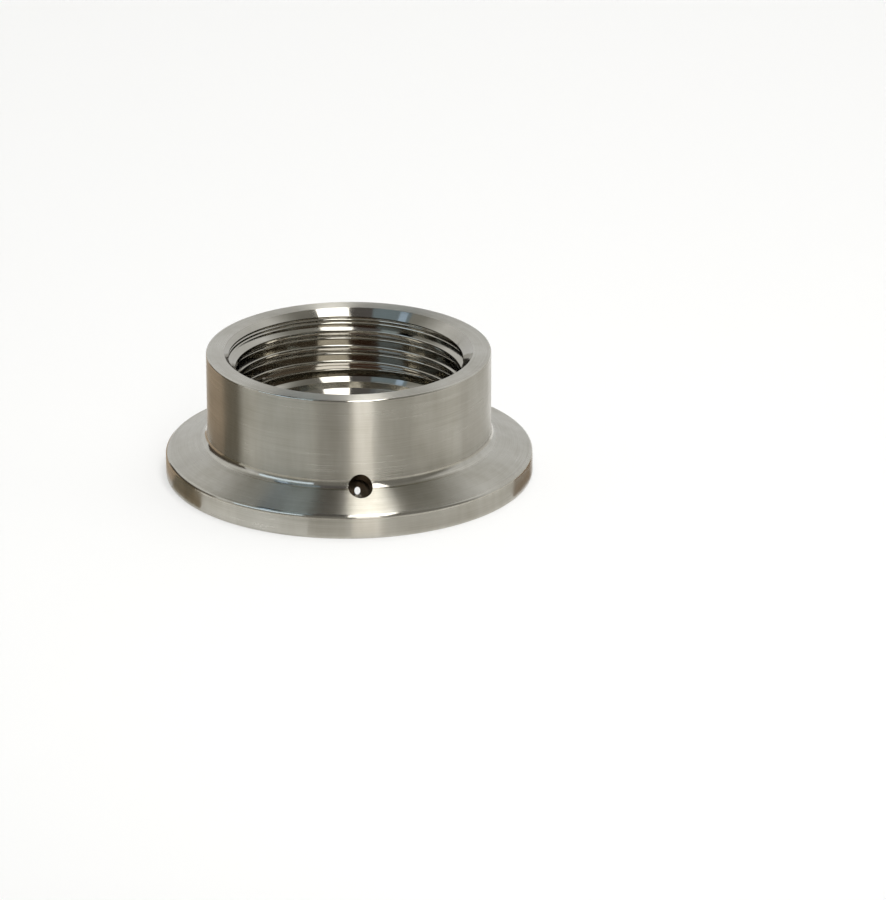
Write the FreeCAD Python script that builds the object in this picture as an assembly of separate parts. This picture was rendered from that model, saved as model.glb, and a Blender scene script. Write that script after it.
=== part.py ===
import FreeCAD, Part

import math
import os

# Sanitary clamp process adapter, turned from one stainless steel bar.
# A clamp flange carries a tall round hub with an inside pipe thread. Below the thread come a
# run-out groove, a short land, a seal bore and a cone seat round the process port. A weep hole
# drilled into the corner between flange and hub just breaks through into the seal bore.
# Millimetres, +Z up along the turning axis. The origin is the middle of the gasket face, and
# the weep hole points to -Y.
# The thread's helix is cosmetic: its bore stands here at the thread's minor diameter.

# Driving dimensions, clamp flange
flange_diameter = 50.5
rim_wall_height = 2.85      # straight outside wall of the rim
rim_break_height = 0.5      # between the rim's wall and the clamp cone, at half their turn
clamp_cone_angle = 20.0     # back face, degrees from the gasket face
base_edge_break = 0.2       # outside edge of the gasket face

# Driving dimensions, gasket groove in the base
groove_mean_diameter = 43.6
groove_section_radius = 2.35
groove_depth = 1.6

# Driving dimensions, hub
hub_diameter = 39.0
total_height = 17.5
hub_fillet = 1.1            # where the clamp cone meets the hub
hub_edge_break = 0.25       # outside edge of the top land

# Driving dimensions, parallel pipe thread G 1, eleven turns to the inch
thread_major_diameter = 33.249
thread_pitch = 25.4 / 11
thread_depth_ratio = 0.640327   # depth of the rounded 55 degree form over its pitch
threaded_depth = 8.3        # from the top land to the run-out groove
mouth_margin = 0.425        # mouth of the lead-in over the thread's major radius
mouth_angle = 45.0          # lead-in chamfer, degrees from the axis

# Driving dimensions, below the thread
runout_margin = 0.28        # groove wall over the thread's major radius
runout_wall_height = 0.9
runout_flank_angle = 30.0   # lower flank, degrees from the gasket face
land_diameter = 30.5
land_edge_width = 0.6       # chamfer at 45 degrees between the groove's flank and the land
land_height = 0.94
seal_bore_diameter = 28.5
seal_lead_angle = 45.0      # from the land into the seal bore, degrees from the axis
process_port_diameter = 26.5
seat_angle = 45.0           # cone seat, degrees from the axis
port_lip_height = 0.6       # straight wall of the port under the seat

# Driving dimensions, weep hole
weep_hole_diameter = 3.3
weep_entry_offset = 0.27    # from the hub's wall out to where the drill's axis meets the cone
weep_exit_height = 2.2      # where the axis meets the seal bore
weep_breakthrough = 0.15    # how far the drill's point comes through into that bore
weep_point_angle = 118.0    # the point's full angle

# Worked out from the values above
flange_radius = flange_diameter / 2
hub_radius = hub_diameter / 2
thread_major_radius = thread_major_diameter / 2
thread_minor_radius = thread_major_radius - thread_depth_ratio * thread_pitch
mouth_radius = thread_major_radius + mouth_margin
runout_radius = thread_major_radius + runout_margin
land_radius = land_diameter / 2
land_edge_radius = land_radius + land_edge_width
seal_radius = seal_bore_diameter / 2
port_radius = process_port_diameter / 2
weep_radius = weep_hole_diameter / 2
cone_slope = math.tan(math.radians(clamp_cone_angle))

# Where the rim's edge break meets the clamp cone, and where that cone would meet the hub's wall
half_turn = math.radians(90 - clamp_cone_angle) / 2
cone_start_radius = flange_radius - rim_break_height * math.tan(half_turn)
cone_start_height = rim_wall_height + rim_break_height
corner_height = cone_start_height + (cone_start_radius - hub_radius) * cone_slope

# The weep hole's axis, falling from the clamp cone to the seal bore
weep_entry_radius = hub_radius + weep_entry_offset
weep_entry_height = corner_height - weep_entry_offset * cone_slope
weep_tilt = math.atan2(weep_entry_height - weep_exit_height, weep_entry_radius - seal_radius)

# Heights inside, from the top land down and from the gasket face up
lead_in_depth = (mouth_radius - thread_minor_radius) / math.tan(math.radians(mouth_angle))
thread_top_height = total_height - lead_in_depth
runout_top_height = total_height - threaded_depth
runout_low_height = runout_top_height - runout_wall_height
runout_flank_drop = (runout_radius - land_edge_radius) * math.tan(math.radians(runout_flank_angle))
land_edge_top = runout_low_height - runout_flank_drop
land_top_height = land_edge_top - land_edge_width
land_low_height = land_top_height - land_height
seal_bore_top = land_low_height - (land_radius - seal_radius) / math.tan(math.radians(seal_lead_angle))
seat_top_height = port_lip_height + (seal_radius - port_radius) / math.tan(math.radians(seat_angle))


def at(radius, height):
    """A point of the half section, which lies in the XZ plane."""
    return FreeCAD.Vector(radius, 0, height)


def line(start, end):
    """A straight edge of the section."""
    return Part.LineSegment(start, end).toShape()


def lines(corners):
    """Straight edges from corner to corner."""
    return [line(start, end) for start, end in zip(corners, corners[1:])]


def arc(centre, radius, first_angle, last_angle):
    """A round edge of the section, its angles in degrees anticlockwise from the radius axis."""
    angles = (first_angle, (first_angle + last_angle) / 2, last_angle)
    points = [centre + radius * at(math.cos(math.radians(a)), math.sin(math.radians(a))) for a in angles]
    return Part.Arc(*points).toShape()


def groove_edge():
    """The gasket groove's round bottom, from its inner to its outer edge."""
    centre = at(groove_mean_diameter / 2, groove_depth - groove_section_radius)
    lowest = math.degrees(math.asin((groove_section_radius - groove_depth) / groove_section_radius))
    return arc(centre, groove_section_radius, 180 - lowest, lowest)


def outside_edges():
    """The section from the port's lip, along the gasket face and up the outside to the top land."""
    groove = groove_edge()
    groove_inner, groove_outer = [vertex.Point for vertex in groove.Vertexes]
    fillet_reach = hub_fillet * math.tan(half_turn)
    cone_angle = math.radians(clamp_cone_angle)
    cone_end_radius = hub_radius + fillet_reach * math.cos(cone_angle)
    cone_end_height = corner_height - fillet_reach * math.sin(cone_angle)
    fillet_centre = at(hub_radius + hub_fillet, corner_height + fillet_reach)
    rim_corners = [
        groove_outer,
        at(flange_radius - base_edge_break, 0),
        at(flange_radius, base_edge_break),
        at(flange_radius, rim_wall_height),
        at(cone_start_radius, cone_start_height),
        at(cone_end_radius, cone_end_height),
    ]
    hub_corners = [
        at(hub_radius, corner_height + fillet_reach),
        at(hub_radius, total_height - hub_edge_break),
        at(hub_radius - hub_edge_break, total_height),
        at(mouth_radius, total_height),
    ]
    gasket_face = line(at(port_radius, 0), groove_inner)
    fillet = arc(fillet_centre, hub_fillet, 270 - clamp_cone_angle, 180)
    return [gasket_face, groove] + lines(rim_corners) + [fillet] + lines(hub_corners)


def inside_edges():
    """The section from the mouth's lead-in down through the bores to the port's lip."""
    corners = [
        at(mouth_radius, total_height),
        at(thread_minor_radius, thread_top_height),
        at(thread_minor_radius, runout_top_height),
        at(runout_radius, runout_top_height),
        at(runout_radius, runout_low_height),
        at(land_edge_radius, land_edge_top),
        at(land_radius, land_top_height),
        at(land_radius, land_low_height),
        at(seal_radius, seal_bore_top),
        at(seal_radius, seat_top_height),
        at(port_radius, port_lip_height),
        at(port_radius, 0),
    ]
    return lines(corners)


def turned_body():
    """The whole section turned about the Z axis."""
    section = Part.Face(Part.Wire(outside_edges() + inside_edges()))
    return section.revolve(FreeCAD.Vector(0, 0, 0), FreeCAD.Vector(0, 0, 1), 360)


def weep_drill():
    """The drill's path: from outside down to the seal bore, its point just through the wall."""
    outwards = FreeCAD.Vector(0, -math.cos(weep_tilt), math.sin(weep_tilt))
    tip_radius = seal_radius - weep_breakthrough
    tip = FreeCAD.Vector(0, -tip_radius, weep_exit_height - weep_breakthrough * math.tan(weep_tilt))
    point_length = weep_radius / math.tan(math.radians(weep_point_angle) / 2)
    shank_length = (flange_radius - seal_radius) / math.cos(weep_tilt)
    point = Part.makeCone(0, weep_radius, point_length, tip, outwards)
    shank = Part.makeCylinder(weep_radius, shank_length, tip + point_length * outwards, outwards)
    return point.fuse(shank)


def clamp_adapter():
    """The finished piece: the turned body with its weep hole."""
    return turned_body().cut(weep_drill())


os.makedirs("parts", exist_ok=True)
adapter = clamp_adapter()
adapter.exportStep("parts/clamp_adapter.step")
thread_bore_length = thread_top_height - runout_top_height
seal_bore_length = seal_bore_top - seat_top_height
print("solids", len(adapter.Solids), "valid", adapter.isValid(), "volume mm3", round(adapter.Volume, 1))
print("thread bore radius", round(thread_minor_radius, 3), "length", round(thread_bore_length, 3))
print("seal bore radius", round(seal_radius, 3), "length", round(seal_bore_length, 3))
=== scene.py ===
"""Sanitary clamp process adapter, turned from one stainless steel bar, on a pale studio floor.

Lengths are written in millimetres. The meshes are modelled at that size and brought to metres
at the end, and the stage is written in metres.
"""
import logging
import math
from contextlib import contextmanager
from dataclasses import dataclass, field, replace
from enum import Enum
from typing import Callable, Iterator, Sequence

import bmesh
import bpy
from mathutils import Euler, Matrix, Vector


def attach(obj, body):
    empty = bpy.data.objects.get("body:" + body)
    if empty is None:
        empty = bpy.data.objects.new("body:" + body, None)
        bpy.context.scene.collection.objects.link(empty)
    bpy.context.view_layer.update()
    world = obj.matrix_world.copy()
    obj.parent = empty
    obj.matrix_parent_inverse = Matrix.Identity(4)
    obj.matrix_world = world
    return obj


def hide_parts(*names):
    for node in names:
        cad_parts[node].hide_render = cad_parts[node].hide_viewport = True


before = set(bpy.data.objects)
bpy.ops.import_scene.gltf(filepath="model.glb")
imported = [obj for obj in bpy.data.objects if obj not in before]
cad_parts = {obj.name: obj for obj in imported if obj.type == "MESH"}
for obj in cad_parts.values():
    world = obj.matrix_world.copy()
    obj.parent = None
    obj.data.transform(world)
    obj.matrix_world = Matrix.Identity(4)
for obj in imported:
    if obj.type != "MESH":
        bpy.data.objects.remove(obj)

Pair = tuple[float, float]
Triple = tuple[float, float, float]
Colour = Triple
Outline = tuple[Pair, ...]

LOG = logging.getLogger("clamp_adapter")
MM = 0.001
NODE = "clamp_adapter"
BODY = "root"
MERGE_DISTANCE = 1e-4
CREASE_ANGLE = math.radians(28)
WHITE = (1.0, 1.0, 1.0)


# Shader graph


class Value:
    """A socket of numbers, so that shader maths reads as plain expressions."""

    def __init__(self, graph: "Graph", socket: bpy.types.NodeSocket) -> None:
        """Wraps one output socket.

        Args:
            graph: The graph that new nodes go into.
            socket: The output socket.
        """
        self.graph = graph
        self.socket = socket

    def _math(self, operation: str, *operands: "Value | float") -> "Value":
        """A Math node on the given operands.

        Args:
            operation: The Math node's operation.
            operands: Its inputs in order.

        Returns:
            The result.
        """
        inputs = dict(enumerate(operands))
        node = self.graph.node("ShaderNodeMath", {"operation": operation}, inputs)
        return Value(self.graph, node.outputs[0])

    def __add__(self, other: "Value | float") -> "Value":
        """The sum."""
        return self._math("ADD", self, other)

    __radd__ = __add__

    def __sub__(self, other: "Value | float") -> "Value":
        """The difference."""
        return self._math("SUBTRACT", self, other)

    def __rsub__(self, other: float) -> "Value":
        """The difference, turned round."""
        return self._math("SUBTRACT", other, self)

    def __mul__(self, other: "Value | float") -> "Value":
        """The product."""
        return self._math("MULTIPLY", self, other)

    __rmul__ = __mul__

    def __truediv__(self, other: "Value | float") -> "Value":
        """The quotient."""
        return self._math("DIVIDE", self, other)

    def root(self) -> "Value":
        """The square root."""
        return self._math("SQRT", self)

    def size(self) -> "Value":
        """The value without its sign."""
        return (self * self).root()

    def angle_over(self, other: "Value | float") -> "Value":
        """The angle whose tangent is this value over the other."""
        return self._math("ARCTAN2", self, other)

    def step(self, low: float, high: float) -> "Value":
        """A smooth step from 0 to 1.

        Args:
            low: Where it leaves 0, or 1 where low is the larger.
            high: Where it arrives.

        Returns:
            The step, between 0 and 1.
        """
        ends = (low, high, 0.0, 1.0) if low < high else (high, low, 1.0, 0.0)
        names = ("From Min", "From Max", "To Min", "To Max")
        inputs = {"Value": self, **dict(zip(names, ends))}
        node = self.graph.node("ShaderNodeMapRange", {"interpolation_type": "SMOOTHSTEP"}, inputs)
        return Value(self.graph, node.outputs["Result"])

    def band(self, low: float, high: float, soft: float) -> "Value":
        """1 between two values and 0 outside them.

        Args:
            low: The band's lower end.
            high: Its upper end.
            soft: How far each end's fade reaches to both sides.

        Returns:
            The mask.
        """
        return self.step(low - soft, low + soft) * self.step(high + soft, high - soft)


class Graph:
    """The node tree of a material or of the world."""

    def __init__(self, tree: bpy.types.NodeTree) -> None:
        """Clears a tree and holds it.

        Args:
            tree: The node tree.
        """
        self.tree = tree
        tree.nodes.clear()

    def node(
        self, kind: str, settings: dict | None = None, inputs: dict | None = None
    ) -> bpy.types.Node:
        """Adds one node.

        Args:
            kind: The node's type.
            settings: Its properties; a ramp's stops come under the key "stops".
            inputs: Values or sockets for its inputs, by name or number.

        Returns:
            The node.
        """
        node = self.tree.nodes.new(kind)
        for key, value in (settings or {}).items():
            if key == "stops":
                self._stops(node, value)
            else:
                setattr(node, key, value)
        for key, value in (inputs or {}).items():
            if isinstance(value, Value):
                value = value.socket
            if isinstance(value, bpy.types.NodeSocket):
                self.tree.links.new(value, node.inputs[key])
            else:
                node.inputs[key].default_value = value
        return node

    @staticmethod
    def _stops(node: bpy.types.Node, stops: Sequence[tuple[float, Colour]]) -> None:
        """Sets a colour ramp's stops.

        Args:
            node: The ramp.
            stops: Pairs of position and colour.
        """
        elements = node.color_ramp.elements
        while len(elements) > len(stops):
            elements.remove(elements[-1])
        while len(elements) < len(stops):
            elements.new(1.0)
        for element, (position, colour) in zip(elements, stops):
            element.position = position
            element.color = rgba(colour)

    def place(self, output: str) -> tuple[Value, Value, Value]:
        """One of the Texture Coordinate node's outputs, taken apart.

        Args:
            output: The output's name.

        Returns:
            Its three coordinates.
        """
        coordinates = self.node("ShaderNodeTexCoord").outputs[output]
        split = self.node("ShaderNodeSeparateXYZ", None, {0: coordinates})
        return tuple(Value(self, split.outputs[axis]) for axis in range(3))

    def noise(
        self,
        vector: Sequence[Value],
        w: Value | float = 0.0,
        detail: float = 2.0,
        roughness: float = 0.5,
    ) -> Value:
        """Four-dimensional noise around 0.5.

        Args:
            vector: Its three coordinates.
            w: Its fourth coordinate.
            detail: How many finer layers it has.
            roughness: How strong they are.

        Returns:
            The noise.
        """
        place = self.node("ShaderNodeCombineXYZ", None, dict(enumerate(vector)))
        layers = {"Scale": 1.0, "Detail": detail, "Roughness": roughness}
        inputs = {"Vector": place.outputs[0], "W": w, **layers}
        node = self.node("ShaderNodeTexNoise", {"noise_dimensions": "4D"}, inputs)
        return Value(self, node.outputs["Fac"])

    def mix(self, factor: Value, first: object, second: object) -> bpy.types.NodeSocket:
        """Mixes two colours.

        Args:
            factor: The second colour's share.
            first: A colour with its cover or a colour socket.
            second: The same.

        Returns:
            The mixed colour's socket.
        """
        inputs = {"Factor": factor, 6: first, 7: second}
        node = self.node("ShaderNodeMix", {"data_type": "RGBA"}, inputs)
        return node.outputs[2]

    def finish(self, shader: bpy.types.Node, output: str = "ShaderNodeOutputMaterial") -> None:
        """Joins the last shader to the tree's output node."""
        self.node(output, None, {0: shader.outputs[0]})


def rgba(colour: Colour) -> tuple[float, float, float, float]:
    """The colour at full cover, as sockets and ramps take it."""
    return (*colour, 1.0)


def new_material(name: str) -> tuple[bpy.types.Material, Graph]:
    """An empty material.

    Args:
        name: Its name.

    Returns:
        The material and its graph.
    """
    material = bpy.data.materials.new(name)
    material.use_nodes = True
    return material, Graph(material.node_tree)


# Finishes


@dataclass(frozen=True)
class PolishedRing:
    """A ring round the outside where the tool left a small rounding brighter."""

    radii: Pair
    heights: Pair
    soft: float

    def mask(self, radius: Value, height: Value) -> Value:
        """1 on the ring and 0 off it."""
        return radius.band(*self.radii, self.soft) * height.band(*self.heights, self.soft)


@dataclass(frozen=True)
class Steel:
    """What the finishes of the one bar share: its colour and how a lathe marks it.

    Lengths are in millimetres, and the broad marks' size counts in fine marks.
    """

    name: str
    colour: Colour = (0.56, 0.54, 0.485)
    tint: Colour = (0.41, 0.385, 0.32)
    edge_tint: Colour = WHITE
    roughness: float = 0.30
    streak_roughness: float = 0.18
    cloud_roughness: float = 0.10
    anisotropy: float = 1.0
    grain_turn: float = 0.25
    line_width: float = 0.11
    line_length: float = 9.0
    broad_width: float = 5.0
    broad_length: float = 3.0
    fine_share: float = 0.65
    cloud_scale: float = 0.16
    smudge_scale: Triple = (0.9, 0.9, 0.12)
    mean_shade: float = 0.38
    streak_shade: float = 1.1
    cloud_shade: float = 0.9
    smudge_shade: float = 0.5
    groove_depth: float = 0.004
    groove_strength: float = 0.35
    fine_groove: float = 0.7
    broad_groove: float = 0.6
    polish: float = 0.55
    polished: tuple[PolishedRing, ...] = ()

    def material(self) -> bpy.types.Material:
        """Makes the finish.

        Returns:
            A material that reads only the piece's own coordinates.
        """
        material, graph = new_material(self.name)
        place = x, y, z = [axis * (1 / MM) for axis in graph.place("Object")]
        radius = (x * x + y * y).root()
        fine = self._marks(graph, place, radius, 1.0, 1.0)
        broad = self._marks(graph, place, radius, self.broad_width, self.broad_length)
        streaks = fine * self.fine_share + broad * (1 - self.fine_share) - 0.5
        cloud = graph.noise([axis * self.cloud_scale for axis in place], detail=3.0) - 0.5
        smudge = graph.noise([axis * scale for axis, scale in zip(place, self.smudge_scale)]) - 0.5
        roughness = self.roughness + streaks * self.streak_roughness + cloud * self.cloud_roughness
        if self.polished:
            rings = sum(ring.mask(radius, z) for ring in self.polished)
            roughness = roughness * (1 - rings * self.polish)
        shade = streaks * self.streak_shade + cloud * self.cloud_shade + smudge * self.smudge_shade
        colour = graph.mix(
            (shade + self.mean_shade).step(0.0, 1.0), rgba(self.colour), rgba(self.tint)
        )
        grooves = {
            "Strength": self.groove_strength,
            "Distance": self.groove_depth * MM,
            "Height": fine * self.fine_groove + broad * self.broad_groove,
        }
        inputs = {
            "Base Color": colour,
            "Metallic": 1.0,
            "Roughness": roughness,
            "Anisotropic": self.anisotropy,
            "Anisotropic Rotation": self.grain_turn,
            "Specular Tint": rgba(self.edge_tint),
            "Normal": graph.node("ShaderNodeBump", None, grooves).outputs[0],
        }
        shader = graph.node("ShaderNodeBsdfPrincipled", None, inputs)
        graph.finish(shader)
        return material

    def _marks(
        self, graph: Graph, place: Sequence[Value], radius: Value, wider: float, longer: float
    ) -> Value:
        """Tool marks that run round the turning axis.

        Args:
            graph: The material's graph.
            place: The three coordinates in millimetres.
            radius: The distance from the axis.
            wider: The marks' width in fine marks.
            longer: Their length in fine marks.

        Returns:
            Noise around 0.5.
        """
        x, y, z = place
        width, length = self.line_width * wider, self.line_length * longer
        return graph.noise((radius / width, z / width, x / length), y / length, roughness=0.6)


class Finish(Enum):
    """The finishes on the piece, in the order of its material slots; the weep hole's is darkened as
    painted shade.
    """

    TURNED = Steel(
        "steel_turned",
        polished=(
            PolishedRing((24.875, 26.0), (2.75, 3.6), 0.08),
            PolishedRing((19.3, 20.3), (4.9, 6.1), 0.1),
            PolishedRing((19.25, 20.0), (17.25, 18.0), 0.05),
        ),
    )
    BORED = Steel(
        "steel_bored",
        colour=(0.48, 0.46, 0.41),
        tint=(0.42, 0.40, 0.345),
        roughness=0.10,
        streak_roughness=0.03,
        anisotropy=0.8,
        line_width=0.4,
        line_length=14.0,
        groove_strength=0.015,
    )
    # The weep hole's steel: colour, tint and edge tint darker than the bar's, as painted shade
    # inside the hole.
    DRILLED = Steel(
        "steel_drilled_painted_shade",
        colour=(0.34, 0.31, 0.27),
        tint=(0.22, 0.17, 0.12),
        edge_tint=(0.16, 0.14, 0.12),
        roughness=0.16,
        streak_roughness=0.06,
        anisotropy=0.0,
        groove_strength=0.15,
    )


# Modelling by operators


def deselect() -> None:
    """Leaves nothing selected."""
    bpy.ops.object.select_all(action="DESELECT")


def pick(obj: bpy.types.Object) -> None:
    """Selects one object alone and makes it active.

    Args:
        obj: The object.
    """
    deselect()
    obj.select_set(True)
    bpy.context.view_layer.objects.active = obj


@contextmanager
def editing(obj: bpy.types.Object) -> Iterator[None]:
    """Edit mode on one object.

    Args:
        obj: The object to edit.

    Yields:
        Nothing; edit mode ends after the block.
    """
    pick(obj)
    bpy.ops.object.mode_set(mode="EDIT")
    try:
        yield
    finally:
        bpy.ops.object.mode_set(mode="OBJECT")


def select_all() -> None:
    """Selects the whole mesh in edit mode."""
    bpy.ops.mesh.select_all(action="SELECT")


def select_verts(obj: bpy.types.Object, test: Callable[[Vector], bool]) -> None:
    """Selects, in edit mode, the vertices that pass a test, and nothing else.

    Args:
        obj: The object in edit mode.
        test: Says of a vertex's place whether it is wanted.
    """
    bpy.ops.mesh.select_mode(type="VERT")
    bpy.ops.mesh.select_all(action="DESELECT")
    mesh = bmesh.from_edit_mesh(obj.data)
    for vert in mesh.verts:
        if test(vert.co):
            vert.select = True
    mesh.select_flush(True)
    bmesh.update_edit_mesh(obj.data)


def select_faces(obj: bpy.types.Object, test: Callable[[bmesh.types.BMFace], bool]) -> int:
    """Selects, in edit mode, the faces that pass a test, and nothing else.

    Args:
        obj: The object in edit mode.
        test: Says of a face whether it is wanted.

    Returns:
        How many were selected.
    """
    bpy.ops.mesh.select_mode(type="FACE")
    bpy.ops.mesh.select_all(action="DESELECT")
    mesh = bmesh.from_edit_mesh(obj.data)
    chosen = [face for face in mesh.faces if test(face)]
    for face in chosen:
        face.select = True
    bmesh.update_edit_mesh(obj.data)
    return len(chosen)


def point_outwards() -> None:
    """Turns all faces of a closed mesh in edit mode outwards."""
    select_all()
    bpy.ops.mesh.normals_make_consistent(inside=False)


def wire(name: str, points: Sequence[Pair], closed: bool) -> bpy.types.Object:
    """An outline in the XZ plane, drawn corner by corner.

    Args:
        name: The new object's name.
        points: The corners' X and Z, which are radius and height in a half section.
        closed: Whether the last corner joins the first.

    Returns:
        An object with edges only.
    """
    deselect()
    bpy.ops.mesh.primitive_plane_add(size=1.0, location=(0, 0, 0))
    obj = bpy.context.active_object
    obj.name = obj.data.name = name
    with editing(obj):
        select_verts(obj, lambda co: not (co.x > 0 and co.y > 0))
        bpy.ops.mesh.delete(type="VERT")
        select_all()
        start = Vector((0.5, 0.5, 0.0))
        for number, (radius, height) in enumerate(points):
            place = Vector((radius, 0.0, height))
            if number == 0:
                bpy.ops.transform.translate(value=place - start)
            else:
                bpy.ops.mesh.extrude_vertices_move(TRANSFORM_OT_translate={"value": place - start})
            start = place
        if closed:
            ends = [Vector((r, 0.0, z)) for r, z in (points[0], points[-1])]
            select_verts(obj, lambda co: min((co - end).length for end in ends) < MERGE_DISTANCE)
            bpy.ops.mesh.edge_face_add()
    return obj


def apply_modifier(obj: bpy.types.Object, kind: str, **settings: object) -> None:
    """Adds a modifier and applies it.

    Args:
        obj: The object.
        kind: The modifier's type.
        settings: Its properties.
    """
    modifier = obj.modifiers.new(kind.lower(), kind)
    for key, value in settings.items():
        setattr(modifier, key, value)
    pick(obj)
    bpy.ops.object.modifier_apply(modifier=modifier.name)


def cut(obj: bpy.types.Object, tool: bpy.types.Object) -> None:
    """Cuts one closed shape out of another, and removes the tool.

    Args:
        obj: The object that is cut.
        tool: The shape that is taken away.
    """
    apply_modifier(obj, "BOOLEAN", operation="DIFFERENCE", solver="EXACT", object=tool)
    bpy.data.objects.remove(tool)


# The section


@dataclass(frozen=True)
class Corner:
    """One corner of a half section, with its rounding."""

    radius: float
    height: float
    rounding: float = 0.0
    steps: int = 4

    @property
    def place(self) -> Vector:
        """The corner in the section's plane."""
        return Vector((self.radius, self.height))


def rounded(corners: Sequence[Corner]) -> list[Pair]:
    """The closed section with each corner rounded by an arc.

    Args:
        corners: The corners in order.

    Returns:
        Radius and height of each point.
    """
    points: list[Pair] = []
    count = len(corners)
    for number, corner in enumerate(corners):
        here = corner.place
        if corner.rounding == 0.0:
            points.append(here[:])
            continue
        back = (corners[number - 1].place - here).normalized()
        onward = (corners[(number + 1) % count].place - here).normalized()
        half_angle = back.angle(onward) / 2
        centre = here + (back + onward).normalized() * (corner.rounding / math.sin(half_angle))
        reach = corner.rounding / math.tan(half_angle)
        first, last = here + back * reach - centre, here + onward * reach - centre
        turn = math.pi - 2 * half_angle
        for step in range(corner.steps + 1):
            done = turn * step / corner.steps
            spoke = (first * math.sin(turn - done) + last * math.sin(done)) / math.sin(turn)
            points.append((centre + spoke)[:])
    return points


# The adapter


@dataclass
class WhitworthThread:
    """The inside pipe thread, cut by a tap of the same form."""

    major_radius: float = 33.249 / 2
    pitch: float = 25.4 / 11
    half_angle: float = math.radians(27.5)
    depth_ratio: float = 0.640327
    rounding_ratio: float = 0.137329
    crest_share: float = 1 / 6
    crest_edge: float = 0.2
    crest_clearance: float = 0.27
    top_root_depth: float = 1.95
    root_azimuth: float = 84.7
    steps: int = 192
    arc_steps: int = 6
    spare_turns: int = 2

    @property
    def minor_radius(self) -> float:
        """The radius over the crests, bored a little wide as such threads are."""
        return self.major_radius - self.depth_ratio * self.pitch + self.crest_clearance

    def tooth(self) -> list[Pair]:
        """One pitch of the tap's tooth, rounded at its tip, from crest middle to crest middle.

        Returns:
            Radius and height of each point, the tooth's tip at half the pitch.
        """
        rounding = self.rounding_ratio * self.pitch
        turn = math.pi / 2 - self.half_angle
        tip = self.major_radius - rounding
        edge = self.crest_edge
        half_pitch = self.pitch / 2
        flat = self.pitch * self.crest_share / 2 + self.crest_clearance * math.tan(self.half_angle)
        foot_middle = flat - edge * math.tan(turn / 2)
        angles = [turn * step / self.arc_steps for step in range(self.arc_steps + 1)]
        foot = [(self.minor_radius, 0.0)] + [
            (self.minor_radius + edge * (1 - math.cos(a)), foot_middle + edge * math.sin(a))
            for a in angles[::2]
        ]
        root = [
            (tip + rounding * math.cos(a), half_pitch - rounding * math.sin(a))
            for a in reversed(angles)
        ]
        half = foot + root
        upper = [(radius, self.pitch - height) for radius, height in reversed(half[:-1])]
        return half + upper

    def tap(self, low: float, high: float, total_height: float) -> bpy.types.Object:
        """The tap, closed flat at both ends.

        Args:
            low: Height of its lower end.
            high: Height of its upper end.
            total_height: Height of the top land, which the thread's phase is counted from.

        Returns:
            The cutting tool.
        """
        tool = wire("tap", self.tooth(), closed=False)
        apply_modifier(
            tool,
            "SCREW",
            axis="Z",
            angle=2 * math.pi,
            screw_offset=self.pitch,
            iterations=math.ceil((high - low) / self.pitch) + 2 * self.spare_turns,
            steps=self.steps,
            render_steps=self.steps,
            use_merge_vertices=False,
            use_smooth_shade=False,
        )
        phase = math.radians(self.root_azimuth) / (2 * math.pi) * self.pitch
        tip_at_start = self.pitch / 2
        root_height = total_height - self.top_root_depth
        raise_by = root_height - tip_at_start - phase
        start = low - self.spare_turns * self.pitch
        raise_by -= math.ceil((raise_by - start) / self.pitch) * self.pitch
        with editing(tool):
            select_all()
            bpy.ops.mesh.remove_doubles(threshold=MERGE_DISTANCE)
            bpy.ops.transform.translate(value=(0, 0, raise_by))
            for height, direction in ((low, -1), (high, 1)):
                select_all()
                bpy.ops.mesh.bisect(
                    plane_co=(0, 0, height),
                    plane_no=(0, 0, direction),
                    use_fill=True,
                    clear_outer=True,
                    threshold=MERGE_DISTANCE / 10,
                )
            point_outwards()
        return tool


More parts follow.
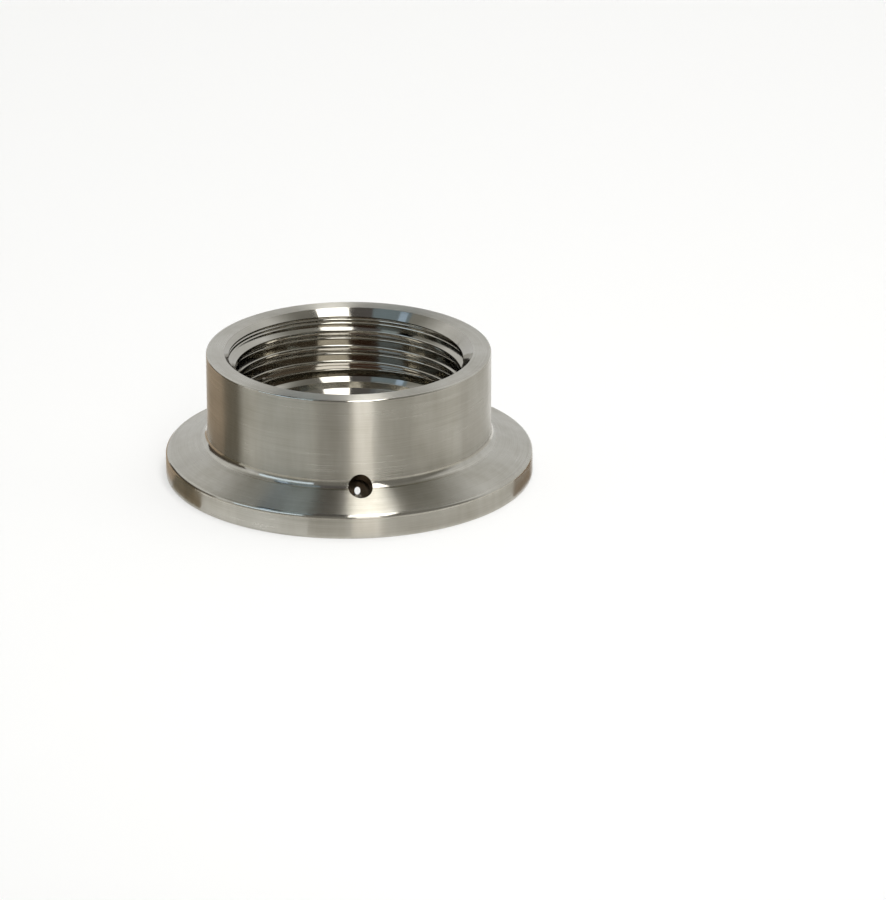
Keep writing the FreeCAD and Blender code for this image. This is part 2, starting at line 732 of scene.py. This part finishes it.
@dataclass
class ClampAdapter:
    """The one-piece adapter: clamp flange, tall hub, pipe thread, bores and weep hole.

    The flange's wall stands a facet margin inside its true radius, because the frame's own
    facets cut the circle short.
    """

    flange_diameter: float = 50.5
    facet_margin: float = 0.008
    rim_wall_height: float = 2.85
    rim_break_height: float = 0.5
    cone_angle: float = math.radians(20.0)
    groove_radius: float = 21.8
    groove_section: float = 2.35
    groove_depth: float = 1.6
    groove_steps: int = 20
    hub_radius: float = 19.5
    total_height: float = 17.5
    mouth_margin: float = 0.425
    threaded_depth: float = 8.3
    runout_margin: float = 0.28
    runout_wall_height: float = 0.9
    runout_flank_angle: float = math.radians(30.0)
    land_radius: float = 15.25
    land_edge_width: float = 0.6
    land_height: float = 0.94
    seal_radius: float = 14.25
    port_radius: float = 13.25
    port_lip: float = 0.6
    core_margin: float = 0.05
    weep_radius: float = 1.65
    weep_entry_offset: float = 0.27
    weep_exit_height: float = 2.2
    weep_breakthrough: float = 0.3
    weep_point_angle: float = math.radians(90.0)
    weep_facets: int = 72
    relief_low: float = 15.7
    relief_rise: float = 0.5
    tap_overrun: float = 0.2
    tap_headroom: float = 1.0
    turn_steps: int = 256
    base_edge: float = 0.2
    rim_edge: float = 0.55
    hub_fillet: float = 1.1
    hub_edge: float = 0.22
    mouth_edge: float = 0.07
    runout_edge: float = 0.08
    runout_corner: float = 0.3
    land_edge: float = 0.06
    seal_edge: float = 0.08
    seat_edge: float = 0.1
    port_edge: float = 0.12
    wall_tolerance: float = 0.004
    end_tolerance: float = 0.01
    thread: WhitworthThread = field(default_factory=WhitworthThread)

    @property
    def flange_radius(self) -> float:
        """The flange wall's radius in the mesh."""
        return self.flange_diameter / 2 - self.facet_margin

    @property
    def mouth_radius(self) -> float:
        """The lead-in's widest radius."""
        return self.thread.major_radius + self.mouth_margin

    def cone_height(self, radius: float) -> float:
        """The clamp cone's height, also where it is carried on past its ends.

        Args:
            radius: The distance from the axis.

        Returns:
            The height.
        """
        half_turn = (math.pi / 2 - self.cone_angle) / 2
        start = self.flange_diameter / 2 - self.rim_break_height * math.tan(half_turn)
        rise = (start - radius) * math.tan(self.cone_angle)
        return self.rim_wall_height + self.rim_break_height + rise

    def groove(self) -> list[Corner]:
        """The gasket groove's arc.

        Returns:
            Its corners from the inner to the outer edge.
        """
        rise = self.groove_section - self.groove_depth
        half_turn = math.acos(rise / self.groove_section)
        steps = self.groove_steps
        angles = [half_turn * (2 * step / steps - 1) for step in range(steps + 1)]
        return [
            Corner(
                self.groove_radius + self.groove_section * math.sin(a),
                max(0.0, self.groove_section * math.cos(a) - rise),
            )
            for a in angles
        ]

    def outside(self) -> list[Corner]:
        """The rim, the clamp cone and the hub.

        Returns:
            The corners from the gasket face up to the mouth.
        """
        rim_height = self.cone_height(self.flange_diameter / 2)
        return [
            Corner(self.flange_radius, 0.0, self.base_edge, 3),
            Corner(self.flange_radius, rim_height, self.rim_edge, 8),
            Corner(self.hub_radius, self.cone_height(self.hub_radius), self.hub_fillet, 10),
            Corner(self.hub_radius, self.total_height, self.hub_edge, 5),
            Corner(self.mouth_radius, self.total_height, self.mouth_edge, 3),
        ]

    def inside(self) -> list[Corner]:
        """The bores, with a core left for the tap where the thread comes.

        Returns:
            The corners from the lead-in down to the port.
        """
        core = self.thread.minor_radius - self.core_margin
        lead_in_foot = self.total_height - (self.mouth_radius - core)
        runout_radius = self.thread.major_radius + self.runout_margin
        runout_top = self.total_height - self.threaded_depth
        runout_low = runout_top - self.runout_wall_height
        edge_radius = self.land_radius + self.land_edge_width
        edge_top = runout_low - (runout_radius - edge_radius) * math.tan(self.runout_flank_angle)
        land_top = edge_top - self.land_edge_width
        land_low = land_top - self.land_height
        seal_top = land_low - (self.land_radius - self.seal_radius)
        seat_top = self.port_lip + (self.seal_radius - self.port_radius)
        return [
            Corner(core, lead_in_foot),
            Corner(core, runout_top),
            Corner(runout_radius, runout_top, self.runout_edge, 2),
            Corner(runout_radius, runout_low, self.runout_corner, 6),
            Corner(edge_radius, edge_top, self.land_edge, 2),
            Corner(self.land_radius, land_top, self.land_edge, 2),
            Corner(self.land_radius, land_low, self.land_edge, 2),
            Corner(self.seal_radius, seal_top, self.seal_edge, 2),
            Corner(self.seal_radius, seat_top, self.seat_edge, 3),
            Corner(self.port_radius, self.port_lip, self.seat_edge, 3),
            Corner(self.port_radius, 0.0, self.port_edge, 3),
        ]

    @property
    def weep_axis(self) -> Vector:
        """The weep hole's direction.

        Returns:
            A vector of length 1, from the seal bore to the outside.
        """
        entry_radius = self.hub_radius + self.weep_entry_offset
        rise = self.cone_height(entry_radius) - self.weep_exit_height
        return Vector((0, self.seal_radius - entry_radius, rise)).normalized()

    @property
    def weep_tip(self) -> Vector:
        """Where the drill's point stops, just inside the seal bore."""
        exit_point = Vector((0, -self.seal_radius, self.weep_exit_height))
        return exit_point + self.weep_axis * (self.weep_breakthrough / self.weep_axis.y)

    def drill(self) -> bpy.types.Object:
        """The drill with its point, as far in as it went.

        Returns:
            The cutting tool.
        """
        axis = self.weep_axis
        point = self.weep_radius / math.tan(self.weep_point_angle / 2)
        shank = (self.flange_radius - self.seal_radius) / -axis.y
        deselect()
        bpy.ops.mesh.primitive_cylinder_add(
            vertices=self.weep_facets,
            radius=self.weep_radius,
            depth=shank,
            location=self.weep_tip + axis * (point + shank / 2),
            rotation=(math.atan2(-axis.y, axis.z), 0, 0),
        )
        tool = bpy.context.active_object
        bpy.ops.object.transform_apply(location=True, rotation=True, scale=True)
        with editing(tool):
            select_faces(tool, lambda face: face.normal.dot(axis) < -0.99)
            bpy.ops.mesh.extrude_region_move(TRANSFORM_OT_translate={"value": -axis * point})
            bpy.ops.mesh.merge(type="CENTER")
            point_outwards()
        return tool

    def tap(self) -> bpy.types.Object:
        """The tap that cuts the thread, from the run-out groove to above the mouth."""
        low = self.total_height - self.threaded_depth - self.tap_overrun
        return self.thread.tap(low, self.total_height + self.tap_headroom, self.total_height)

    def relief(self) -> bpy.types.Object:
        """The tap once more, a little higher, which opens the first turn under the lead-in.

        Returns:
            The cutting tool.
        """
        clearance = self.thread.crest_clearance - self.core_margin
        high = self.total_height + self.tap_headroom
        phase_height = self.total_height + self.relief_rise
        wider = replace(self.thread, crest_clearance=clearance)
        return wider.tap(self.relief_low, high, phase_height)

    def build(self) -> bpy.types.Object:
        """Models the piece: turned, tapped and drilled.

        Returns:
            The piece, in millimetres, at the frame's origin.
        """
        section = rounded(self.groove() + self.outside() + self.inside())
        piece = wire("adapter_body", section, closed=True)
        with editing(piece):
            select_all()
            bpy.ops.mesh.spin(
                steps=self.turn_steps, angle=2 * math.pi, center=(0, 0, 0), axis=(0, 0, 1)
            )
            select_all()
            bpy.ops.mesh.remove_doubles(threshold=MERGE_DISTANCE)
            point_outwards()
        for make_tool in (self.tap, self.relief, self.drill):
            tool = make_tool()
            LOG.info("%s: %d faces", make_tool.__name__, len(tool.data.polygons))
            cut(piece, tool)
        return piece

    def drilled(self, face: bmesh.types.BMFace) -> bool:
        """Tests for the weep hole's wall and the mark of the drill's point.

        Args:
            face: A face of the piece.

        Returns:
            Whether it lies there.
        """
        middle = face.calc_center_median()
        gap = middle - self.weep_tip
        along = gap.dot(self.weep_axis)
        across = (gap - self.weep_axis * along).length
        on_bore = math.hypot(middle.x, middle.y) < self.seal_radius + self.wall_tolerance
        in_hole = across < self.weep_radius + self.wall_tolerance and along > -self.end_tolerance
        return in_hole and middle.y < 0 and not on_bore

    def bored(self, face: bmesh.types.BMFace) -> bool:
        """Tests for the bores, the thread and the lead-in.

        Args:
            face: A face of the piece.

        Returns:
            Whether it belongs to them.
        """
        middle = face.calc_center_median()
        low, high = 2 * self.end_tolerance, self.total_height - self.end_tolerance
        return math.hypot(middle.x, middle.y) < self.mouth_radius and low < middle.z < high

    def dress(self, piece: bpy.types.Object) -> None:
        """Gives each surface its finish, brings the piece to metres and shades it.

        Args:
            piece: The modelled piece.
        """
        piece.data.materials.clear()
        for finish in Finish:
            piece.data.materials.append(finish.value.material())
        with editing(piece):
            for slot, test in ((1, self.bored), (2, self.drilled)):
                count = select_faces(piece, test)
                piece.active_material_index = slot
                bpy.ops.object.material_slot_assign()
                LOG.info("%s: %d faces", piece.data.materials[slot].name, count)
            select_all()
            bpy.ops.transform.resize(value=(MM, MM, MM), center_override=(0, 0, 0))
        pick(piece)
        bpy.ops.object.shade_smooth_by_angle(angle=CREASE_ANGLE)
        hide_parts(NODE)
        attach(piece, BODY)


# Light, and what the steel mirrors


CAMERA_AZIMUTH = -5.3
CAMERA_ELEVATION = math.radians(21.554)


def camera_side() -> Matrix:
    """The turn from the frame's front to the camera's side of the studio."""
    return Matrix.Rotation(math.radians(CAMERA_AZIMUTH), 4, "Z")


def camera_view() -> Vector:
    """The camera's line of sight, seen from its own side of the studio."""
    return Vector((0, math.cos(CAMERA_ELEVATION), -math.sin(CAMERA_ELEVATION)))


def glow(name: str, colour: Colour, level: float = 1.0) -> bpy.types.Material:
    """An even glow.

    Args:
        name: The material's name.
        colour: Its colour.
        level: Its strength.

    Returns:
        The material.
    """
    material, graph = new_material(name)
    light = {"Color": rgba(colour), "Strength": level}
    graph.finish(graph.node("ShaderNodeEmission", None, light))
    return material


def mirrored_only(obj: bpy.types.Object, material: bpy.types.Material) -> None:
    """Gives a thing of the studio its material and lets it show only in the steel.

    Args:
        obj: The thing.
        material: Its material.
    """
    obj.data.materials.append(material)
    obj.visible_camera = False
    obj.visible_diffuse = False
    obj.visible_shadow = False


@dataclass(frozen=True)
class Panel:
    """A soft lamp or a dark card, given by its middle, its size and what it faces."""

    name: str
    middle: Triple
    size: Pair
    turn: Triple
    level: float
    colour: Colour = WHITE
    in_steel: bool = True

    def lamp(self) -> None:
        """Makes the panel a lamp of even brightness, which the camera doesn't see."""
        data = bpy.data.lights.new(self.name, "AREA")
        data.shape = "RECTANGLE"
        data.size, data.size_y = self.size
        data.color = self.colour
        data.energy = self.level * math.pi * self.size[0] * self.size[1]
        lamp = bpy.data.objects.new(self.name, data)
        bpy.context.scene.collection.objects.link(lamp)
        lamp.matrix_world = self.placement()
        lamp.visible_camera = False
        lamp.visible_glossy = self.in_steel

    def card(self) -> None:
        """Makes the panel a card that shows only in the steel."""
        deselect()
        bpy.ops.mesh.primitive_plane_add(size=1.0)
        card = bpy.context.active_object
        card.name = card.data.name = self.name
        card.scale = (self.size[0], self.size[1], 1.0)
        bpy.ops.object.transform_apply(location=False, rotation=False, scale=True)
        card.matrix_world = self.placement()
        mirrored_only(card, glow(self.name, self.colour, self.level))

    def placement(self) -> Matrix:
        """Where the panel stands, turned with the camera's side of the studio."""
        turn = Euler([math.radians(a) for a in self.turn]).to_matrix().to_4x4()
        return camera_side() @ Matrix.Translation(self.middle) @ turn


LAMPS = (
    Panel("key_strip", (0.036, 0.166, 0.443), (0.072, 0.942), (45, 0, 0), 3.4),
    Panel(
        "overhead",
        (0.25, 0.1, 1.3),
        (1.4, 1.4),
        (-4, 11, 0),
        1.4,
        (1.0, 0.985, 0.95),
        in_steel=False,
    ),
    Panel("front_panel", (0.09, -0.42, 0.15), (0.11, 0.32), (90, 0, 12), 1.4),
)
DARK_PANELS = (
    Panel("dark_strip", (-0.07, 0.1, 0.45), (0.14, 0.75), (20, 0, 0), 0.16, (0.84, 0.8, 0.8)),
    Panel("dark_left", (-0.45, 0.2, 0.1), (0.5, 0.2), (90, 0, -115), 0.08, (1.0, 0.8, 0.6)),
)


def divided(first: float, last: float, step: float) -> list[float]:
    """Even steps from one angle to another.

    Args:
        first: The first angle in degrees.
        last: The last one.
        step: About how wide a step is, in degrees.

    Returns:
        The angles in radians, both ends included.
    """
    parts = max(1, round(abs(last - first) / step))
    return [math.radians(first + (last - first) * part / parts) for part in range(parts + 1)]


def floor_sector(first: float, last: float, near: float, far: float, wall: float) -> Outline:
    """The part of the floor that a round wall mirrors between two directions.

    Args:
        first: One mirrored direction in degrees from the camera's side, rightwards.
        last: The other one.
        near: The distance from the axis at which the part begins, in millimetres.
        far: Where it ends.
        wall: The wall's radius.

    Returns:
        Its outline, to the right and away from the camera, in metres.
    """
    turns = divided(first, last, step=8)
    corners = []
    for reach, order in ((near, turns), (far, turns[::-1])):
        for turn in order:
            side, front = wall * math.sin(turn / 2), wall * math.cos(turn / 2)
            along = math.sqrt(reach**2 - side**2) - front
            right, away = side + along * math.sin(turn), -front - along * math.cos(turn)
            corners.append((right * MM, away * MM))
    return tuple(corners)


def sky_streak(height: float, radius: float, azimuths: Pair, slopes: Pair) -> Outline:
    """The part of a level plane that a band across turned cones mirrors.

    Args:
        height: The plane's height in metres.
        radius: The cones' distance from the axis in millimetres, below zero inside a bore.
        azimuths: Where the band begins and ends: the direction that a face there turns to, in
            degrees from the camera's side, rightwards.
        slopes: The least and the greatest slope of a face in the band, in degrees.

    Returns:
        The part's outline, to the right and away from the camera, in metres.
    """
    view = camera_view()
    tilts = divided(*slopes, step=5)
    corners = []
    for azimuth, order in ((azimuths[0], tilts), (azimuths[1], tilts[::-1])):
        turn = math.radians(azimuth)
        outward = Vector((math.sin(turn), -math.cos(turn), 0.0))
        for tilt in order:
            normal = outward * math.sin(tilt) + Vector((0, 0, math.cos(tilt)))
            ray = view - 2 * view.dot(normal) * normal
            spot = outward * radius * MM + ray * (height / ray.z)
            corners.append((spot.x, spot.y))
    return tuple(corners)


@dataclass(frozen=True)
class Card:
    """A level card of even brightness that shows only in the steel."""

    name: str
    height: float
    corners: Outline
    colour: Colour

    def lay(self) -> None:
        """Lays the card in its place."""
        card = wire(self.name, self.corners, closed=True)
        with editing(card):
            select_all()
            bpy.ops.mesh.edge_face_add()
        flat = Matrix.Rotation(math.radians(-90), 4, "X")
        card.matrix_world = camera_side() @ Matrix.Translation((0, 0, self.height)) @ flat
        mirrored_only(card, glow(self.name, self.colour))


# Cards on the floor: their height in metres, their distances from the axis in millimetres
FLOOR = 0.0003
HUB_WALL = ClampAdapter.hub_radius
RIM_WALL = ClampAdapter.flange_diameter / 2
RIM_CARDS = (25.4, 31.0)
BESIDE_RIM = 25.7
PAST_RIM_CARDS = 33.0
FAR_FLOOR = 600.0


def hub_card(
    name: str, first: float, last: float, colour: Colour, near: float = PAST_RIM_CARDS
) -> Card:
    """A card on the floor that the hub's wall mirrors as an upright band."""
    return Card(name, FLOOR, floor_sector(first, last, near, FAR_FLOOR, HUB_WALL), colour)


def rim_card(name: str, first: float, last: float, colour: Colour) -> Card:
    """A card on the floor, close by, that the rim's wall mirrors."""
    return Card(name, FLOOR, floor_sector(first, last, *RIM_CARDS, RIM_WALL), colour)


# Cards in the sky: heights in metres, and the radii of the cones that mirror them
SKY = 0.3
LAYER = 0.005
CONE = 22.5
LEAD_IN = -16.5
FILLET = 19.9


def sky_card(
    name: str, layer: int, radius: float, azimuths: Pair, slopes: Pair, colour: Colour
) -> Card:
    """A card in the sky that turned cones mirror as a streak.

    Args:
        name: Its name.
        layer: How many layers it lies under the highest card.
        radius: The cones' distance from the axis in millimetres, below zero inside a bore.
        azimuths: Where on the cones the streak begins and ends, in degrees.
        slopes: The least and the greatest slope that it runs over, in degrees.
        colour: Its brightness and colour.

    Returns:
        The card.
    """
    height = SKY - layer * LAYER
    return Card(name, height, sky_streak(height, radius, azimuths, slopes), colour)


CARDS = (
    hub_card("card_brown", -162, -118, (0.48, 0.38, 0.28), BESIDE_RIM),
    hub_card("card_olive", -118, -96, (0.17, 0.15, 0.11), BESIDE_RIM),
    hub_card("card_left", -96, -24, (0.64, 0.63, 0.58)),
    hub_card("card_middle", -24, 3, (0.48, 0.47, 0.44)),
    hub_card("card_bright", 3, 20, (1.02, 0.98, 0.93), BESIDE_RIM),
    hub_card("card_right", 20, 54, (0.64, 0.63, 0.59)),
    hub_card("card_side_right", 54, 100, (0.80, 0.79, 0.75)),
    hub_card("card_far_right", 100, 150, (0.66, 0.65, 0.62)),
    rim_card("card_rim_front", -24, 3, (0.71, 0.70, 0.67)),
    rim_card("card_rim_side", 20, 126, (0.75, 0.74, 0.71)),
    rim_card("card_rim_right", 126, 162, (0.24, 0.16, 0.09)),
    rim_card("card_rim_left", -145, -104, (0.28, 0.22, 0.14)),
    sky_card("card_window", 1, LEAD_IN, (-11, -30), (39, 50), (0.25, 0.32, 0.37)),
    sky_card("card_window_edge", 2, LEAD_IN, (-24, -28), (40, 50), (0.55, 0.72, 0.95)),
    sky_card("card_window_low", 2, FILLET, (-14, -38), (53, 64), (1.2, 1.45, 1.7)),
    sky_card("card_window_high", 0, CONE, (-13.5, -21.5), (4, 38), (0.36, 0.43, 0.46)),
    sky_card("card_gap", 0, CONE, (-22.5, -30.5), (4, 38), (0.0, 0.0, 0.0)),
)


# The studio


@dataclass
class Studio:
    """Floor, light and camera."""

    floor_radius: float = 3.0
    floor_facets: int = 96
    floor_colour: Colour = (0.87, 0.87, 0.86)
    floor_white: float = 0.5
    front_sky: Colour = (0.24, 0.235, 0.22)
    front_edge: Pair = (0.05, -0.35)
    sky_lean: float = 0.095
    sky_dip: float = 0.045
    sky_tones: tuple[tuple[float, Colour], ...] = (
        (0.0, (0.73, 0.74, 0.75)),
        (0.45, (0.78, 0.79, 0.80)),
        (0.63, (0.88, 0.89, 0.90)),
        (0.8, (0.33, 0.33, 0.31)),
        (1.0, (0.33, 0.33, 0.31)),
    )
    fan_radius: float = 0.0131
    fan_facets: int = 64
    fan_focus: float = 0.0094
    fan_strength: float = 2.6
    fan_wedges: tuple[tuple[float, Colour], ...] = (
        (-90, (0.035, 0.028, 0.02)),
        (-57, (0.11, 0.135, 0.16)),
        (-30, (0.03, 0.016, 0.01)),
        (0, (0.56, 0.54, 0.51)),
        (30, (0.045, 0.036, 0.027)),
    )
    distance: float = 0.7051
    focal_pixels: float = 5112.7
    sensor_width: float = 36.0
    clip_range: Pair = (0.05, 20.0)
    photo_size: tuple[int, int] = (886, 900)
    target_offset: Pair = (-0.01289, -0.002607)

    @staticmethod
    def disc(name: str, radius: float, facets: int) -> bpy.types.Object:
        """A flat disc round the axis on the ground.

        Args:
            name: Its name.
            radius: Its radius in metres.
            facets: How many sides its edge has.

        Returns:
            The disc.
        """
        deselect()
        bpy.ops.mesh.primitive_circle_add(vertices=facets, radius=radius, fill_type="NGON")
        disc = bpy.context.active_object
        disc.name = disc.data.name = name
        return disc

    def floor(self) -> None:
        """Lays a round pale floor, which the camera and the steel see nearly white."""
        floor = self.disc("studio_floor", self.floor_radius, self.floor_facets)
        material, graph = new_material("pale_floor")
        matt = {"Base Color": rgba(self.floor_colour), "Roughness": 0.9, "Specular IOR Level": 0.2}
        shader = graph.node("ShaderNodeBsdfPrincipled", None, matt)
        white = graph.node("ShaderNodeEmission", None, {"Color": rgba(WHITE), "Strength": 1.0})
        path = graph.node("ShaderNodeLightPath")
        rays = ("Is Camera Ray", "Is Glossy Ray", "Is Transmission Ray")
        seen = [Value(graph, path.outputs[name]) for name in rays]
        share = (seen[0] + seen[1] + seen[2]) * self.floor_white
        blend = {0: share, 1: shader.outputs[0], 2: white.outputs[0]}
        graph.finish(graph.node("ShaderNodeMixShader", None, blend))
        floor.data.materials.append(material)

    def sky(self) -> None:
        """Sets a pale sky, darker overhead and behind the camera."""
        world = bpy.data.worlds.new("studio_sky")
        world.use_nodes = True
        bpy.context.scene.world = world
        graph = Graph(world.node_tree)
        across, away, height = graph.place("Generated")
        level = height - across * self.sky_lean - across.size() * self.sky_dip
        ramp = graph.node("ShaderNodeValToRGB", {"stops": self.sky_tones}, {0: level})
        tone = graph.mix(away.step(*self.front_edge), ramp.outputs[0], rgba(self.front_sky))
        shader = graph.node("ShaderNodeBackground", None, {"Color": tone, "Strength": 1.0})
        graph.finish(shader, "ShaderNodeOutputWorld")

    def light(self) -> None:
        """Sets the sky, the soft lamps and the cards that show in the steel."""
        self.sky()
        for panel in LAMPS:
            panel.lamp()
        for panel in DARK_PANELS:
            panel.card()
        for card in CARDS:
            card.lay()
        self.port_fan()

    def port_fan(self) -> None:
        """Lays a disc in the port's foot that shows only in the bore, lit in wedges.

        The flanks of the thread mirror it twice, so its wedges come out as upright bands.
        """
        disc = self.disc("port_fan", self.fan_radius, self.fan_facets)
        disc.matrix_world = camera_side() @ Matrix.Translation((0, 0, FLOOR / 3))
        material, graph = new_material("port_fan")
        across, away, _ = graph.place("Object")
        turn = across.angle_over(self.fan_focus - away)
        stops = [((angle + 90) / 180, colour) for angle, colour in self.fan_wedges]
        wedges = graph.node("ShaderNodeValToRGB", {"stops": stops}, {0: turn * (1 / math.pi) + 0.5})
        wedges.color_ramp.interpolation = "CONSTANT"
        light = {"Color": wedges.outputs[0], "Strength": self.fan_strength}
        graph.finish(graph.node("ShaderNodeEmission", None, light))
        mirrored_only(disc, material)

    def camera(self) -> None:
        """Sets the camera at the photograph's viewing angle."""
        data = bpy.data.cameras.new("studio_camera")
        data.sensor_width = self.sensor_width
        data.lens = self.focal_pixels * data.sensor_width / max(self.photo_size)
        data.clip_start, data.clip_end = self.clip_range
        camera = bpy.data.objects.new("studio_camera", data)
        bpy.context.scene.collection.objects.link(camera)
        forward = camera_view()
        right = Vector((1, 0, 0))
        up = right.cross(forward)
        across, above = self.target_offset
        place = -(across * right + above * up + self.distance * forward)
        axes = Matrix((right, up, -forward)).transposed().to_4x4()
        camera.matrix_world = camera_side() @ Matrix.Translation(place) @ axes
        bpy.context.scene.camera = camera


def main() -> None:
    """Builds the adapter and its studio, and logs face counts."""
    logging.basicConfig(level=logging.INFO, format="%(name)s: %(message)s")
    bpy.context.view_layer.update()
    adapter = ClampAdapter()
    piece = adapter.build()
    adapter.dress(piece)
    LOG.info("%s: %d faces", piece.name, len(piece.data.polygons))
    studio = Studio()
    studio.floor()
    studio.light()
    studio.camera()
    bpy.context.scene.view_settings.view_transform = "Standard"


if __name__ == "__main__":
    main()
